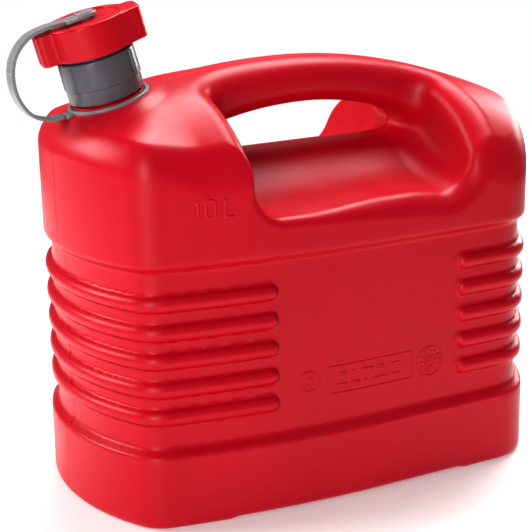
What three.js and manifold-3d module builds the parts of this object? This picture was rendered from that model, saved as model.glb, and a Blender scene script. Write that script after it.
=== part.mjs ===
// A 10 litre blow-moulded jerry can: a can with a hollow handle, a tilted screw neck, a collar that holds
// a pour spout stored inside the can, and a screw cap held by a flexible strap.
// Millimetres, +Z up. +X runs from the neck (front) to the back. The can stands on its two feet at z = 0.

import * as THREE from 'three';
import { mergeVertices } from 'three/addons/utils/BufferGeometryUtils.js';
import { LoftGeometry } from 'three/addons/geometries/LoftGeometry.js';
import Module from 'manifold-3d';

// ---------------------------------------------------------------- driving dimensions

// Plan outline of the upper shell, one half, from the middle of the front end to the middle of the back end.
const FRONT_END = { radius: 136.8, turn: 0.51 };
const FRONT_CORNER_RADIUS = 25.7;
const SIDE_BOW = { radius: 662.6, turn: 0.22 };
const SIDE_STRAIGHT = 84.3;
const BACK_CORNER_RADIUS = 32.4;
const BACK_END_TURN = 0.7;
const OUTLINE_STEPS = { end: 5, corner: 5, bow: 4, straight: 2 };

const WALL = 2;
const LENGTH = 315.7;
const WIDTH = 189.3;
const BASE_TOP = 46;
const SHELL_BOTTOM = 161.8;
const CHAMFER = 4;
const RECESS = 4.4;
const BASE_OUTSET = 1;
const FOOT_RELIEF = 1.2;
const FOOT_EDGE = { radius: 5, mid: 1.6, inner: 6 };
const FOOT_GAP = { from: -86, to: 74 };

const BEADS = { count: 5, top: 139.1, pitch: 17.34, radius: 5, frontTip: -60.5, backTip: 75.1 };

// Shoulder levels above the shell: height, front end, back end, half width, share of ellipse in the outline.
const SHOULDER = [
	{ z: 198, front: -157.8, back: 157, half: 92.6, oval: 0 },
	{ z: 210, front: -157, back: 154.5, half: 88.5, oval: 0.05 },
	{ z: 220, front: -153.5, back: 149, half: 82, oval: 0.1 },
	{ z: 228, front: -148, back: 141, half: 75.5, oval: 0.2 },
	{ z: 235, front: -142, back: 131, half: 67, oval: 0.3 },
	{ z: 241, front: -134, back: 120, half: 57.5, oval: 0.45 },
	{ z: 247, front: -119, back: 105, half: 46, oval: 0.6 },
	{ z: 252.5, front: -97, back: 87, half: 33, oval: 0.75 },
	{ z: 257, front: -72, back: 66, half: 20, oval: 0.85 },
	{ z: 260.5, front: -44, back: 40, half: 12.5, oval: 0.9 },
	{ z: 262.6, front: -15, back: 15, half: 5, oval: 1 },
];

// The grip: a scoop in each side, joined by the finger hole under the handle.
const SCOOP = { frontLow: -60, frontHigh: -72, backLow: 85, backHigh: 104, low: 200, high: 275, corner: 14 };
const SCOOP_FLOOR = [ [ 112, 180 ], [ 92, 183 ], [ 60, 187 ], [ 42, 192 ], [ 28, 200 ], [ 14, 205.5 ] ];
const HANDLE = [
	{ x: -95, under: 214, half: 30 },
	{ x: -66, under: 226, half: 23 },
	{ x: -33, under: 231.5, half: 20 },
	{ x: 4, under: 235, half: 19.5 },
	{ x: 40, under: 233, half: 20 },
	{ x: 76, under: 226, half: 22 },
	{ x: 110, under: 212, half: 30 },
];
const HANDLE_EDGE = 9;

// The neck and all that is screwed on it share one tilted axis. Heights along it count from the strap ring.
const NECK = { x: -121.1, z: 248.5, tilt: THREE.MathUtils.degToRad( 15 ) };
const PLATFORM = { radius: 27.5, foot: 38, top: - 3.9, depth: 16 };
const BOSS = { radius: 22, top: 0.4, root: - 12 };
const NECK_TUBE = { outer: 19.4, bore: 16.6, top: 17.5, bottom: - 24, thread: 5.5 };
const THREAD = { pitch: 4, turns: 1.75, ridge: 1.1, steps: 16 };
const COLLAR = {
	bottom: 2.1, bandTop: 10.6, top: 27.4, rimTop: 40, bandRadius: 22.6, radius: 23.3, rimRadius: 19.9,
	threadBore: 21, shoulder: 21.9, rimBore: 16.4, thread: 30.2, chamfer: 1,
};
const COLLAR_RIB = { turn: THREE.MathUtils.degToRad( - 52 ), half: 1.4, height: 0.9, margin: 1.2 };
const SPOUT = {
	flange: 20.3, flangeLow: 19.6, flangeHigh: 21.6, throat: 15.4, throatLow: 10, shoulder: 8,
	radius: 13.6, tip: 10.5, taperTop: - 56, taperRadius: 12.2, wall: 1.8, end: - 104,
};
const BELLOWS = { count: 6, top: - 24, pitch: 5, rise: 1, drop: 1.5, depth: 1.6 };
const SPOUT_SEAL = { inner: 17.2, outer: 20.2, low: 17.8, high: 19.3 };
const CAP = {
	bottom: 29.3, top: 48.7, radius: 24.6, edge: 1.2, bore: 21.6, ceiling: 45.5,
	dish: 1, dishRadius: 20.8, dishSlope: 1.5, hole: 4,
};
const LOBES = { reach: 32, width: 22, round: 4, turn: THREE.MathUtils.degToRad( - 12 ) };
const CAP_SEAL = { inner: 13, outer: 20.9, low: 42.5, high: 45.2 };

const RING = { inner: 22.4, outer: 25.2, low: - 3.5, high: - 0.2, tab: 29.5 };
const STRAP = { width: 9.6, thickness: 2.2, steps: 12 };
const STRAP_LOW = [
	[ - 149.9, 239.5 ], [ - 159.5, 238.5 ], [ - 170.3, 242.6 ], [ - 177.8, 253 ], [ - 180.2, 265.6 ],
];
const STRAP_HIGH = [
	[ - 180.2, 266 ], [ - 177.6, 277.5 ], [ - 169.6, 286.8 ], [ - 158.8, 291.4 ], [ - 147.1, 293.9 ],
];
const PAD = {
	front: - 13, back: 8, half: 5.6, low: 49, high: 52.2,
	stud: 3.6, head: 5, headBevel: 2, headLow: 43.6, headHigh: 45.2,
};

// How far a cutting shape runs past what it cuts, and the sides of a full circle.
const REACH = 10;
const ROUND = 40;

const RED = { color: 0xc8102a, roughness: 0.42, metalness: 0 };
const GREY = { color: 0x55555c, roughness: 0.45, metalness: 0 };
const DARK = { color: 0x2b2b2e, roughness: 0.7, metalness: 0 };

// ---------------------------------------------------------------- solids

const wasm = await Module();
wasm.setup();

function solid( geometry ) {

	const bare = new THREE.BufferGeometry();
	bare.setAttribute( 'position', geometry.attributes.position );
	bare.setIndex( geometry.index );
	const merged = mergeVertices( bare, 1e-3 );
	return new wasm.Manifold( new wasm.Mesh( {
		numProp: 3,
		vertProperties: new Float32Array( merged.attributes.position.array ),
		triVerts: new Uint32Array( merged.index.array ),
	} ) );

}

function geometryOf( manifold ) {

	const mesh = manifold.getMesh();
	const geometry = new THREE.BufferGeometry();
	geometry.setAttribute( 'position', new THREE.BufferAttribute( new Float32Array( mesh.vertProperties ), 3 ) );
	geometry.setIndex( new THREE.BufferAttribute( new Uint32Array( mesh.triVerts ), 1 ) );
	geometry.computeVertexNormals();
	return geometry;

}

function piece( name, geometry, finish ) {

	const mesh = new THREE.Mesh( geometry, new THREE.MeshStandardMaterial( finish ) );
	mesh.name = name;
	return mesh;

}

function box( from, to ) {

	const size = to.clone().sub( from );
	const centre = from.clone().add( to ).multiplyScalar( 0.5 );
	return new THREE.BoxGeometry( size.x, size.y, size.z ).translate( centre.x, centre.y, centre.z );

}

// A turned solid about Z. The profile is a closed list of [radius, height] pairs.
function turned( profile, segments = ROUND ) {

	const points = profile.map( ( [ r, z ] ) => new THREE.Vector2( r, z ) );
	points.push( points[ 0 ].clone() );
	return new THREE.LatheGeometry( points, segments ).rotateX( Math.PI / 2 );

}

function disc( radius, low, high, segments = ROUND ) {

	return new THREE.CylinderGeometry( radius, radius, high - low, segments )
		.rotateX( Math.PI / 2 ).translate( 0, 0, ( low + high ) / 2 );

}

class Helix extends THREE.Curve {

	constructor( radius, low, pitch, turns ) {

		super();
		Object.assign( this, { radius, low, pitch, turns } );

	}

	getPoint( t, target = new THREE.Vector3() ) {

		const angle = t * this.turns * 2 * Math.PI;
		const height = this.low + t * this.turns * this.pitch;
		return target.set( this.radius * Math.cos( angle ), this.radius * Math.sin( angle ), height );

	}

}

function thread( radius, low ) {

	const section = new THREE.Shape().absarc( 0, 0, THREAD.ridge, 0, 2 * Math.PI );
	return new THREE.ExtrudeGeometry( section, {
		curveSegments: 3,
		steps: THREAD.steps * THREAD.turns,
		extrudePath: new Helix( radius, low, THREAD.pitch, THREAD.turns ),
	} );

}

// ---------------------------------------------------------------- can body

// The plan outline scaled to a unit half length and half width, anticlockwise.
function unitOutline() {

	const half = [ new THREE.Vector2( 0, 0 ) ];
	let heading = - Math.PI / 2;

	function arc( turn, radius, steps ) {

		for ( let i = 0; i < steps; i ++ ) {

			const step = turn / steps;
			const direction = heading + step / 2;
			const length = radius * step;
			const last = half[ half.length - 1 ];
			const chord = new THREE.Vector2( Math.cos( direction ), Math.sin( direction ) ).multiplyScalar( length );
			half.push( chord.add( last ) );
			heading += step;

		}

	}

	arc( FRONT_END.turn, FRONT_END.radius, OUTLINE_STEPS.end );
	arc( Math.PI / 2 - FRONT_END.turn - SIDE_BOW.turn, FRONT_CORNER_RADIUS, OUTLINE_STEPS.corner );
	arc( SIDE_BOW.turn, SIDE_BOW.radius, OUTLINE_STEPS.bow );
	for ( let i = 1; i <= OUTLINE_STEPS.straight; i ++ ) {

		const last = half[ half.length - 1 ];
		half.push( new THREE.Vector2( last.x + SIDE_STRAIGHT / OUTLINE_STEPS.straight, last.y ) );

	}

	arc( Math.PI / 2 - BACK_END_TURN, BACK_CORNER_RADIUS, OUTLINE_STEPS.corner );
	const rest = - half[ half.length - 1 ].y;
	arc( BACK_END_TURN, rest / Math.sin( BACK_END_TURN ), OUTLINE_STEPS.end );

	const long = half[ half.length - 1 ].x;
	const deep = Math.max( ...half.map( ( p ) => - p.y ) );
	const near = half.map( ( p ) => new THREE.Vector2( 2 * p.x / long - 1, p.y / deep ) );
	const far = near.slice( 1, - 1 ).reverse().map( ( p ) => new THREE.Vector2( p.x, - p.y ) );
	return [ ...near, ...far ];

}

const OUTLINE = unitOutline();
const INNER_OUTLINE = OUTLINE.filter( ( p, i ) => i % 2 === 0 );

function level( z, front, back, half, oval = 0, outline = OUTLINE ) {

	const middle = ( front + back ) / 2;
	const long = ( back - front ) / 2;
	return outline.map( ( p ) => {

		const q = p.clone().normalize();
		const r = p.clone().lerp( q, oval );
		return new THREE.Vector3( middle + long * r.x, half * r.y, z );

	} );

}

function evenLevel( z, inset, outline = OUTLINE ) {

	return level( z, - LENGTH / 2 + inset, LENGTH / 2 - inset, WIDTH / 2 - inset, 0, outline );

}

function outerForm() {

	const levels = [
		evenLevel( 0, FOOT_EDGE.radius - BASE_OUTSET ),
		evenLevel( FOOT_EDGE.mid, FOOT_EDGE.mid - BASE_OUTSET ),
		evenLevel( FOOT_EDGE.radius, - BASE_OUTSET ),
		evenLevel( BASE_TOP, - BASE_OUTSET ),
		evenLevel( BASE_TOP + CHAMFER, RECESS ),
		evenLevel( SHELL_BOTTOM - CHAMFER, RECESS ),
		evenLevel( SHELL_BOTTOM, 0 ),
		...SHOULDER.map( ( s ) => level( s.z, s.front, s.back, s.half, s.oval ) ),
	];
	return solid( new LoftGeometry( levels, { capStart: true, capEnd: true } ) );

}

function innerForm() {

	const shoulder = SHOULDER.filter( ( s, i ) => i % 2 === 0 && s.half > 2 * WALL );
	const inset = ( s ) => [ s.z - WALL, s.front + WALL, s.back - WALL, s.half - WALL, s.oval, INNER_OUTLINE ];
	const levels = [
		evenLevel( WALL + FOOT_RELIEF, FOOT_EDGE.inner + WALL, INNER_OUTLINE ),
		evenLevel( FOOT_EDGE.inner + WALL, WALL - BASE_OUTSET, INNER_OUTLINE ),
		evenLevel( BASE_TOP - WALL, WALL - BASE_OUTSET, INNER_OUTLINE ),
		evenLevel( BASE_TOP + CHAMFER - WALL / 2, RECESS + WALL, INNER_OUTLINE ),
		evenLevel( SHELL_BOTTOM - CHAMFER + WALL / 2, RECESS + WALL, INNER_OUTLINE ),
		evenLevel( SHELL_BOTTOM + WALL, WALL, INNER_OUTLINE ),
		...shoulder.map( ( s ) => level( ...inset( s ) ) ),
	];
	return solid( new LoftGeometry( levels, { capStart: true, capEnd: true } ) );

}

// The grip's cut seen from the side: flared walls, a floor with round corners, open at the top.
function scoopSection( y, floor, grow ) {

	const { frontLow, frontHigh, backLow, backHigh, low, high, corner } = SCOOP;
	const shape = new THREE.Shape();
	const bottom = floor - grow;
	shape.moveTo( frontHigh - grow, high );
	shape.lineTo( frontLow - grow, low + corner );
	shape.quadraticCurveTo( frontLow - grow, bottom, frontLow - grow + corner, bottom );
	shape.lineTo( backLow + grow - corner, bottom );
	shape.quadraticCurveTo( backLow + grow, bottom, backLow + grow, low + corner );
	shape.lineTo( backHigh + grow, high );
	return shape.getPoints( 4 ).map( ( p ) => new THREE.Vector3( p.x, y, p.y ) );

}

function gripCut( grow ) {

	const floors = [ ...SCOOP_FLOOR, ...SCOOP_FLOOR.map( ( [ y, z ] ) => [ - y, z ] ).reverse() ];
	const sections = floors.map( ( [ y, z ] ) => scoopSection( y, z, grow ) );
	const cut = solid( new LoftGeometry( sections, { capStart: true, capEnd: true } ) );
	return cut.subtract( handleBar( - grow ) );

}

function handleBar( grow ) {

	const sections = HANDLE.map( ( { x, under, half } ) => {

		const wide = half + grow;
		const low = under - grow;
		const shape = new THREE.Shape();
		shape.moveTo( - wide, SCOOP.high + REACH );
		shape.lineTo( - wide, low + HANDLE_EDGE );
		shape.quadraticCurveTo( - wide, low, - wide + HANDLE_EDGE, low );
		shape.lineTo( wide - HANDLE_EDGE, low );
		shape.quadraticCurveTo( wide, low, wide, low + HANDLE_EDGE );
		shape.lineTo( wide, SCOOP.high + REACH );
		return shape.getPoints( 4 ).map( ( p ) => new THREE.Vector3( x, p.x, p.y ) );

	} );
	return solid( new LoftGeometry( sections, { capStart: true, capEnd: true } ) );

}

// One ridge ring, flush with the shell, cut away along the middle of both sides.
function beadRing( z ) {

	const { radius, frontTip, backTip } = BEADS;
	const steps = [ - 90, - 45, 0, 45, 90 ];
	const levels = steps.map( ( degrees ) => {

		const angle = THREE.MathUtils.degToRad( degrees );
		return evenLevel( z + radius * Math.sin( angle ), radius * ( 1 - Math.cos( angle ) ) );

	} );
	const ring = solid( new LoftGeometry( levels, { capStart: true, capEnd: true } ) );
	const from = new THREE.Vector3( frontTip, - WIDTH, z - 2 * radius );
	const to = new THREE.Vector3( backTip, WIDTH, z + 2 * radius );
	return ring.subtract( solid( box( from, to ) ) );

}

function onNeck( geometry ) {

	return geometry.clone().rotateY( - NECK.tilt ).translate( NECK.x, 0, NECK.z );

}

function canBody() {

	let body = outerForm();
	for ( let i = 0; i < BEADS.count; i ++ ) {

		body = body.add( beadRing( BEADS.top - i * BEADS.pitch ) );

	}

	const { radius, foot, top, depth } = PLATFORM;
	const platform = turned( [ [ 0, top - depth ], [ foot, top - depth ], [ radius, top ], [ 0, top ] ] );
	body = body.add( solid( onNeck( platform ) ) );
	body = body.subtract( solid( onNeck( disc( radius, top, NECK_TUBE.top + REACH ) ) ) );
	body = body.add( solid( onNeck( disc( BOSS.radius, BOSS.root, BOSS.top ) ) ) );
	body = body.subtract( gripCut( 0 ) );
	body = body.add( solid( onNeck( disc( NECK_TUBE.outer, BOSS.root, NECK_TUBE.top ) ) ) );
	body = body.add( solid( onNeck( thread( NECK_TUBE.outer, NECK_TUBE.thread ) ) ) );

	const inside = innerForm().subtract( gripCut( WALL ) );
	body = body.subtract( inside );
	body = body.subtract( solid( onNeck( disc( NECK_TUBE.bore, NECK_TUBE.bottom, NECK_TUBE.top + REACH ) ) ) );

	const from = new THREE.Vector3( FOOT_GAP.from, - WIDTH, - REACH );
	const to = new THREE.Vector3( FOOT_GAP.to, WIDTH, FOOT_RELIEF );
	body = body.subtract( solid( box( from, to ) ) );
	return piece( 'can_body', geometryOf( body ), RED );

}

// ---------------------------------------------------------------- collar, spout and seals

function collar() {

	const c = COLLAR;
	const profile = [
		[ c.threadBore, c.bottom ], [ c.bandRadius, c.bottom ], [ c.bandRadius, c.bandTop ],
		[ c.radius, c.bandTop + c.chamfer ], [ c.radius, c.top - c.chamfer ], [ c.radius - c.chamfer, c.top ],
		[ c.rimRadius, c.top ], [ c.rimRadius, c.rimTop ], [ c.rimBore, c.rimTop ],
		[ c.rimBore, c.shoulder ], [ c.threadBore, c.shoulder ],
	];
	let body = solid( turned( profile ) );
	body = body.add( solid( thread( c.rimRadius, c.thread ) ) );
	const { turn, half, height, margin } = COLLAR_RIB;
	for ( const angle of [ turn, turn + Math.PI ] ) {

		const from = new THREE.Vector3( c.radius - c.chamfer, - half, c.bandTop + margin );
		const to = new THREE.Vector3( c.radius + height, half, c.top - margin );
		body = body.add( solid( box( from, to ).rotateZ( angle ) ) );

	}

	return piece( 'collar', geometryOf( body ), GREY );

}

// The spout hangs upside down in the can, held by its flange under the collar.
function spoutTube() {

	const s = SPOUT;
	const b = BELLOWS;
	const bore = s.radius - b.depth - s.wall;
	const outer = [ [ s.radius, s.shoulder ] ];
	for ( let i = 0; i < b.count; i ++ ) {

		const z = b.top - i * b.pitch;
		outer.push( [ s.radius, z + b.rise ], [ s.radius - b.depth, z - b.drop ] );

	}

	outer.push( [ s.taperRadius, s.taperTop ], [ s.tip, s.end ] );
	const inner = [ [ s.tip - s.wall, s.end ], [ bore, s.taperTop ], [ bore, s.flangeHigh ] ];
	const flange = [
		[ s.flange, s.flangeHigh ], [ s.flange, s.flangeLow ], [ s.throat, s.flangeLow ], [ s.throat, s.throatLow ],
	];
	return piece( 'spout_tube', turned( [ ...flange, ...outer, ...inner ].reverse(), 24 ), GREY );

}

function sealRing( name, { inner, outer, low, high } ) {

	return piece( name, turned( [ [ inner, low ], [ outer, low ], [ outer, high ], [ inner, high ] ], 32 ), DARK );

}

// ---------------------------------------------------------------- cap

function cap() {

	const c = CAP;
	const profile = [
		[ 0, c.bottom ], [ c.radius, c.bottom ], [ c.radius, c.top - c.edge ], [ c.radius - c.edge, c.top ],
		[ c.dishRadius, c.top ], [ c.dishRadius - c.dishSlope, c.top - c.dish ], [ 0, c.top - c.dish ],
	];
	const points = profile.map( ( [ r, z ] ) => new THREE.Vector2( r, z ) );
	let body = solid( new THREE.LatheGeometry( points, ROUND ).rotateX( Math.PI / 2 ) );

	const { reach, width, round } = LOBES;
	const bar = new THREE.Shape();
	bar.moveTo( - reach, - width / 2 + round );
	bar.absarc( - reach + round, - width / 2 + round, round, Math.PI, 1.5 * Math.PI );
	bar.absarc( reach - round, - width / 2 + round, round, 1.5 * Math.PI, 2 * Math.PI );
	bar.absarc( reach - round, width / 2 - round, round, 0, 0.5 * Math.PI );
	bar.absarc( - reach + round, width / 2 - round, round, 0.5 * Math.PI, Math.PI );
	const tall = c.top - c.bottom;
	const lobes = new THREE.ExtrudeGeometry( bar, { depth: tall, bevelEnabled: false, curveSegments: 4 } )
		.rotateZ( LOBES.turn ).translate( 0, 0, c.bottom );
	const middle = disc( c.dishRadius, c.bottom - 1, c.top + 1 );
	body = body.add( solid( lobes ).subtract( solid( middle ) ) );
	body = body.subtract( solid( disc( c.bore, c.bottom - 1, c.ceiling ) ) );
	body = body.subtract( solid( disc( c.hole, c.ceiling - 1, c.top + 1, 20 ) ) );
	return piece( 'cap', geometryOf( body ), RED );

}

// ---------------------------------------------------------------- strap

function strapRing() {

	const r = RING;
	const ring = turned( [ [ r.inner, r.low ], [ r.outer, r.low ], [ r.outer, r.high ], [ r.inner, r.high ] ] );
	const middle = ( r.low + r.high ) / 2;
	const from = new THREE.Vector3( - r.tab, - STRAP.width / 2, middle - STRAP.thickness / 2 );
	const to = new THREE.Vector3( - ( r.inner + r.outer ) / 2, STRAP.width / 2, middle + STRAP.thickness / 2 );
	return piece( 'strap_ring', geometryOf( solid( ring ).add( solid( box( from, to ) ) ) ), GREY );

}

function strapBand( name, route ) {

	const points = route.map( ( [ x, z ] ) => new THREE.Vector3( x, 0, z ) );
	const thick = STRAP.thickness / 2;
	const wide = STRAP.width / 2;
	const sections = new THREE.CatmullRomCurve3( points ).getSpacedPoints( STRAP.steps ).map( ( p, i, all ) => {

		const before = all[ Math.max( i - 1, 0 ) ];
		const after = all[ Math.min( i + 1, all.length - 1 ) ];
		const along = after.clone().sub( before ).normalize();
		const out = new THREE.Vector3( - along.z, 0, along.x );
		const corners = [ [ - 1, - 1 ], [ - 1, 1 ], [ 1, 1 ], [ 1, - 1 ] ];
		return corners.map( ( [ a, b ] ) => p.clone().addScaledVector( out, a * thick ).setY( b * wide ) );

	} );
	return piece( name, new LoftGeometry( sections, { capStart: true, capEnd: true } ), GREY );

}

function strapPad() {

	const p = PAD;
	const slot = new THREE.Shape();
	slot.moveTo( p.front, - p.half );
	slot.lineTo( p.back - p.half, - p.half );
	slot.absarc( p.back - p.half, 0, p.half, - Math.PI / 2, Math.PI / 2 );
	slot.lineTo( p.front, p.half );
	const depth = p.high - p.low;
	const plate = new THREE.ExtrudeGeometry( slot, { depth, bevelEnabled: false, curveSegments: 10 } )
		.translate( 0, 0, p.low );
	const stud = turned( [
		[ 0, p.headLow ], [ p.head - p.headBevel, p.headLow ], [ p.head, p.headHigh ],
		[ p.stud, p.headHigh ], [ p.stud, ( p.low + p.high ) / 2 ], [ 0, ( p.low + p.high ) / 2 ],
	], 20 );
	return piece( 'strap_pad', geometryOf( solid( plate ).add( solid( stud ) ) ), GREY );

}

// ---------------------------------------------------------------- assembly

const neck = new THREE.Group();
neck.position.set( NECK.x, 0, NECK.z );
neck.rotation.y = - NECK.tilt;
neck.add( collar(), spoutTube(), sealRing( 'spout_seal', SPOUT_SEAL ) );
neck.add( cap(), sealRing( 'cap_seal', CAP_SEAL ), strapRing(), strapPad() );

const can = new THREE.Group();
can.add( canBody(), neck, strapBand( 'strap_lower', STRAP_LOW ), strapBand( 'strap_upper', STRAP_HIGH ) );

// The origin is the middle of the whole object's footprint, at the height of the feet.
const jerryCan = new THREE.Group();
jerryCan.add( can );
can.position.x = - new THREE.Box3().setFromObject( can, true ).getCenter( new THREE.Vector3() ).x;

export default jerryCan;
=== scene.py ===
# A 10 litre blow-moulded jerry can: the fine surfaces and finishes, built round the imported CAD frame.
# Shapes are worked out in millimetres in the can's own coordinates, and made into meshes in metres.

import math
import bpy
import numpy as np
from mathutils import Matrix, Vector


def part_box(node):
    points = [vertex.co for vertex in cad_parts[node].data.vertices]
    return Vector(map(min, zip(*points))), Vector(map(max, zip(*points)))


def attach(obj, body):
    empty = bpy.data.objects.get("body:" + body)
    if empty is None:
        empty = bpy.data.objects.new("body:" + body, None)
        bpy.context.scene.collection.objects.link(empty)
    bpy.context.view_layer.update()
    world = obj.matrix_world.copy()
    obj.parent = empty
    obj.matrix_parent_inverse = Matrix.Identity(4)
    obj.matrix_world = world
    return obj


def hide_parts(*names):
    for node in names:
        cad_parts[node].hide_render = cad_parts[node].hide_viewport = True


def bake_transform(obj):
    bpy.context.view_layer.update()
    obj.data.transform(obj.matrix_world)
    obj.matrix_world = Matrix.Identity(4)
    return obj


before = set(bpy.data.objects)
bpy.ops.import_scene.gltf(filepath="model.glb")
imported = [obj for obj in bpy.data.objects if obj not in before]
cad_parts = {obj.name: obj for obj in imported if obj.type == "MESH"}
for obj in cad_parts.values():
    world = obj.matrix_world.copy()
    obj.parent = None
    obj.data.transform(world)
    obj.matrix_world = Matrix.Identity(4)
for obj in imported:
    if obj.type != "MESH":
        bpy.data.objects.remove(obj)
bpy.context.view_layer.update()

MM = 0.001

# ---------------------------------------------------------------- driving dimensions

LENGTH = 315.7
BASE_OUTSET = 1.0
BASE_TOP = 46.0
RECESS = 4.4
CHAMFER = 4.0
SHELL_BOTTOM = 161.8
WALL = 2.0
FOOT_RELIEF = 1.2
FOOT_GAP = (-86.0, 74.0)

# Plan outline of one side, from the front end to the back end, as turns in radians and radii.
# The back end's radius is the one that closes it on the middle line.
FRONT_END = (0.51, 135.6)
SIDE_BOW = (0.22, 656.8)
FRONT_CORNER = (math.pi / 2 - FRONT_END[0] - SIDE_BOW[0], 25.5)
SIDE_STRAIGHT = 83.6
BACK_END_TURN = 0.7
BACK_CORNER = (math.pi / 2 - BACK_END_TURN, 32.1)

# The ridge rings, and the edges and steps of the walls.
BEAD_COUNT = 5
BEAD_TOP = 139.1
BEAD_PITCH = 17.34
BEAD_RADIUS = 5.0
BEAD_TIPS = (-60.5, 75.1)
BEAD_FILLET = 1.2
SHELL_EDGE = 0.9
STEP_FILLET = 1.0
FOOT_EDGE = 5.0
FOOT_RAMP = 3.0

# The roof: radii in front of its centre and behind it; its fall at the side, half width and power; and the
# share by which the fall is less in front, with where that starts and is complete.
ROOF_TOP = 262.6
ROOF_CENTRE = -3.0
ROOF_RADII = (400.0, 350.0)
ROOF_FALL = (25.3, 75.6, 2.35)
ROOF_FLATTER = (0.45, 95.0, 135.0)
ROOF_EDGE = 13.6

# The grip's scoops: the ridge's height, half width and power; the floor's swell and dip with where each
# starts and is complete; the front wall's bow and its half width; front and back corner radii; and the rim's
# edge radius in front and behind, with the stretch where it changes.
SCOOP_FRONT = -68.5
SCOOP_BACK = 82.0
SCOOP_FLARE = 0.42
SCOOP_RIDGE = (19.0, 36.0, 2.6)
SCOOP_FLOOR = 188.5
SCOOP_FLOOR_FALL = 0.06
SCOOP_FLOOR_SWELL = (4.0, -40.0, 20.0)
SCOOP_FLOOR_DIP = (6.0, 35.0, 80.0)
SCOOP_FRONT_BOW = (6.0, 22.0)
SCOOP_CORNERS = (18.0, 16.0)
SCOOP_EDGES = (5.5, 14.0)
SCOOP_EDGE_RAMP = (-45.0, 40.0)

# The handle's bar: sags in front of its middle and behind it, and how much wider it is at a distance along.
HANDLE_MIDDLE = 6.0
HANDLE_UNDER = 234.5
HANDLE_SAGS = (0.0019, 0.0027)
HANDLE_HALF = 19.5
HANDLE_WIDENING = (3.6, 75.0)
HANDLE_EDGE = 11.0
HANDLE_FILLET = 12.0
HANDLE_REACH = 102.0

# The neck, with heights along its axis. The boss has a radius and a top, the platform a top radius, a foot
# radius, a top and a depth, and a thread's ridge a height and half its width.
NECK_X = -121.1
NECK_Z = 248.5
NECK_TILT = math.radians(15)
NECK_BORE = 16.6
NECK_OUTER = 19.4
NECK_TOP = 17.5
BOSS = (22.0, 0.4)
PLATFORM = (27.5, 38.0, -3.9, 16.0)
PLATFORM_EDGE = 1.5
PLATFORM_BOTTOM = -60.0
PLATFORM_FILLET = 7.0
NECK_ROOT = -12.0
BORE_BOTTOM = -26.0
THREAD_PITCH = 4.0
THREAD_TURNS = 1.75
THREAD_RIDGE = (1.1, 1.1)
NECK_THREAD_LOW = 5.5

# The collar's radii are those of its drum, band and rim. Its bores are the lower one, the rim's, and the
# height of the shoulder between them. The cap's threads start at these heights outside and inside.
COLLAR_BOTTOM = 2.1
COLLAR_BAND_TOP = 10.6
COLLAR_TOP = 27.4
COLLAR_RIM_TOP = 40.0
COLLAR_RADII = (23.3, 22.6, 19.9)
COLLAR_BORES = (21.0, 16.4, 21.9)
CAP_THREAD_LOWS = (30.2, 31.5)
COLLAR_RIB_TURN = math.radians(-52)

# The strap's ring by radii and heights, its tongue by front, back and half width, and its stud by the
# radii of the shank and head and the head's heights.
RING = (22.4, 25.2, -3.5, -0.2)
RING_TAB = 29.5
PAD = (-13.0, 8.0, 5.6)
PAD_LEVELS = (49.0, 51.4)
STUD = (3.6, 5.0, 43.6, 45.2)

STRAP_WIDTH = 9.6
STRAP_THICKNESS = 2.2

# The band's middle line from the ring to the tongue, made as a lower half up to the join and an upper half
# from the join to the loose end.
STRAP_ROUTE = [
    (-149.9, 239.5), (-159.5, 238.5), (-170.3, 242.6), (-177.8, 253), (-180.2, 265.8),
    (-177.6, 277.5), (-169.6, 286.8), (-158.8, 291.4), (-147.1, 293.9),
]
STRAP_JOIN = STRAP_ROUTE[4]
BAND_STEPS = 44

# A turned profile stays this far off the axis, so that its faces keep an area.
AXIS = 0.01

# The space that holds the can, from its lowest to its highest corner.
CAN_SPACE = ((-164, -100, -4), (164, 100, 268))

# The can's own coordinates start in the middle of the body, the frame's in the middle of the footprint.
CAN_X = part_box("can_body")[0].x / MM + LENGTH / 2 + BASE_OUTSET
NECK_AXIS = np.array([-math.sin(NECK_TILT), 0, math.cos(NECK_TILT)])


def to_frame(points):
    return (np.asarray(points, float) + (CAN_X, 0, 0)) * MM


def on_neck(points):
    """Points given along and round the neck's axis, in the can's coordinates."""
    x, y, z = np.asarray(points, float).reshape(-1, 3).T
    across = np.array([math.cos(NECK_TILT), 0, math.sin(NECK_TILT)])
    return np.outer(x, across) + np.outer(y, (0, 1, 0)) + np.outer(z, NECK_AXIS) + (NECK_X, 0, NECK_Z)


# ---------------------------------------------------------------- camera


def add_camera():
    data = bpy.data.cameras.new("camera")
    data.sensor_width = 36
    data.lens = 99.68
    camera = bpy.data.objects.new("camera", data)
    bpy.context.collection.objects.link(camera)
    right = Vector((0.87687, -0.48046, -0.01608))
    forward = Vector((0.45731, 0.84401, -0.28020))
    up = right.cross(forward)
    turn = Matrix((right, up, -forward)).transposed()
    place = Vector(to_frame((-453.37, -806.62, 395.11)))
    camera.matrix_world = Matrix.Translation(place) @ turn.to_4x4()
    bpy.context.scene.camera = camera


# ---------------------------------------------------------------- distance functions


def round_max(a, b, radius):
    """The overlap of two solids, its edge rounded to about the radius."""
    inside = np.minimum(np.maximum(a, b), -radius)
    return inside + np.hypot(np.maximum(a + radius, 0), np.maximum(b + radius, 0))


def round_min(a, b, radius):
    return -round_max(-a, -b, radius)


def smoothstep(x, low, high):
    t = np.clip((x - low) / (high - low), 0, 1)
    return t * t * (3 - 2 * t)


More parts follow.
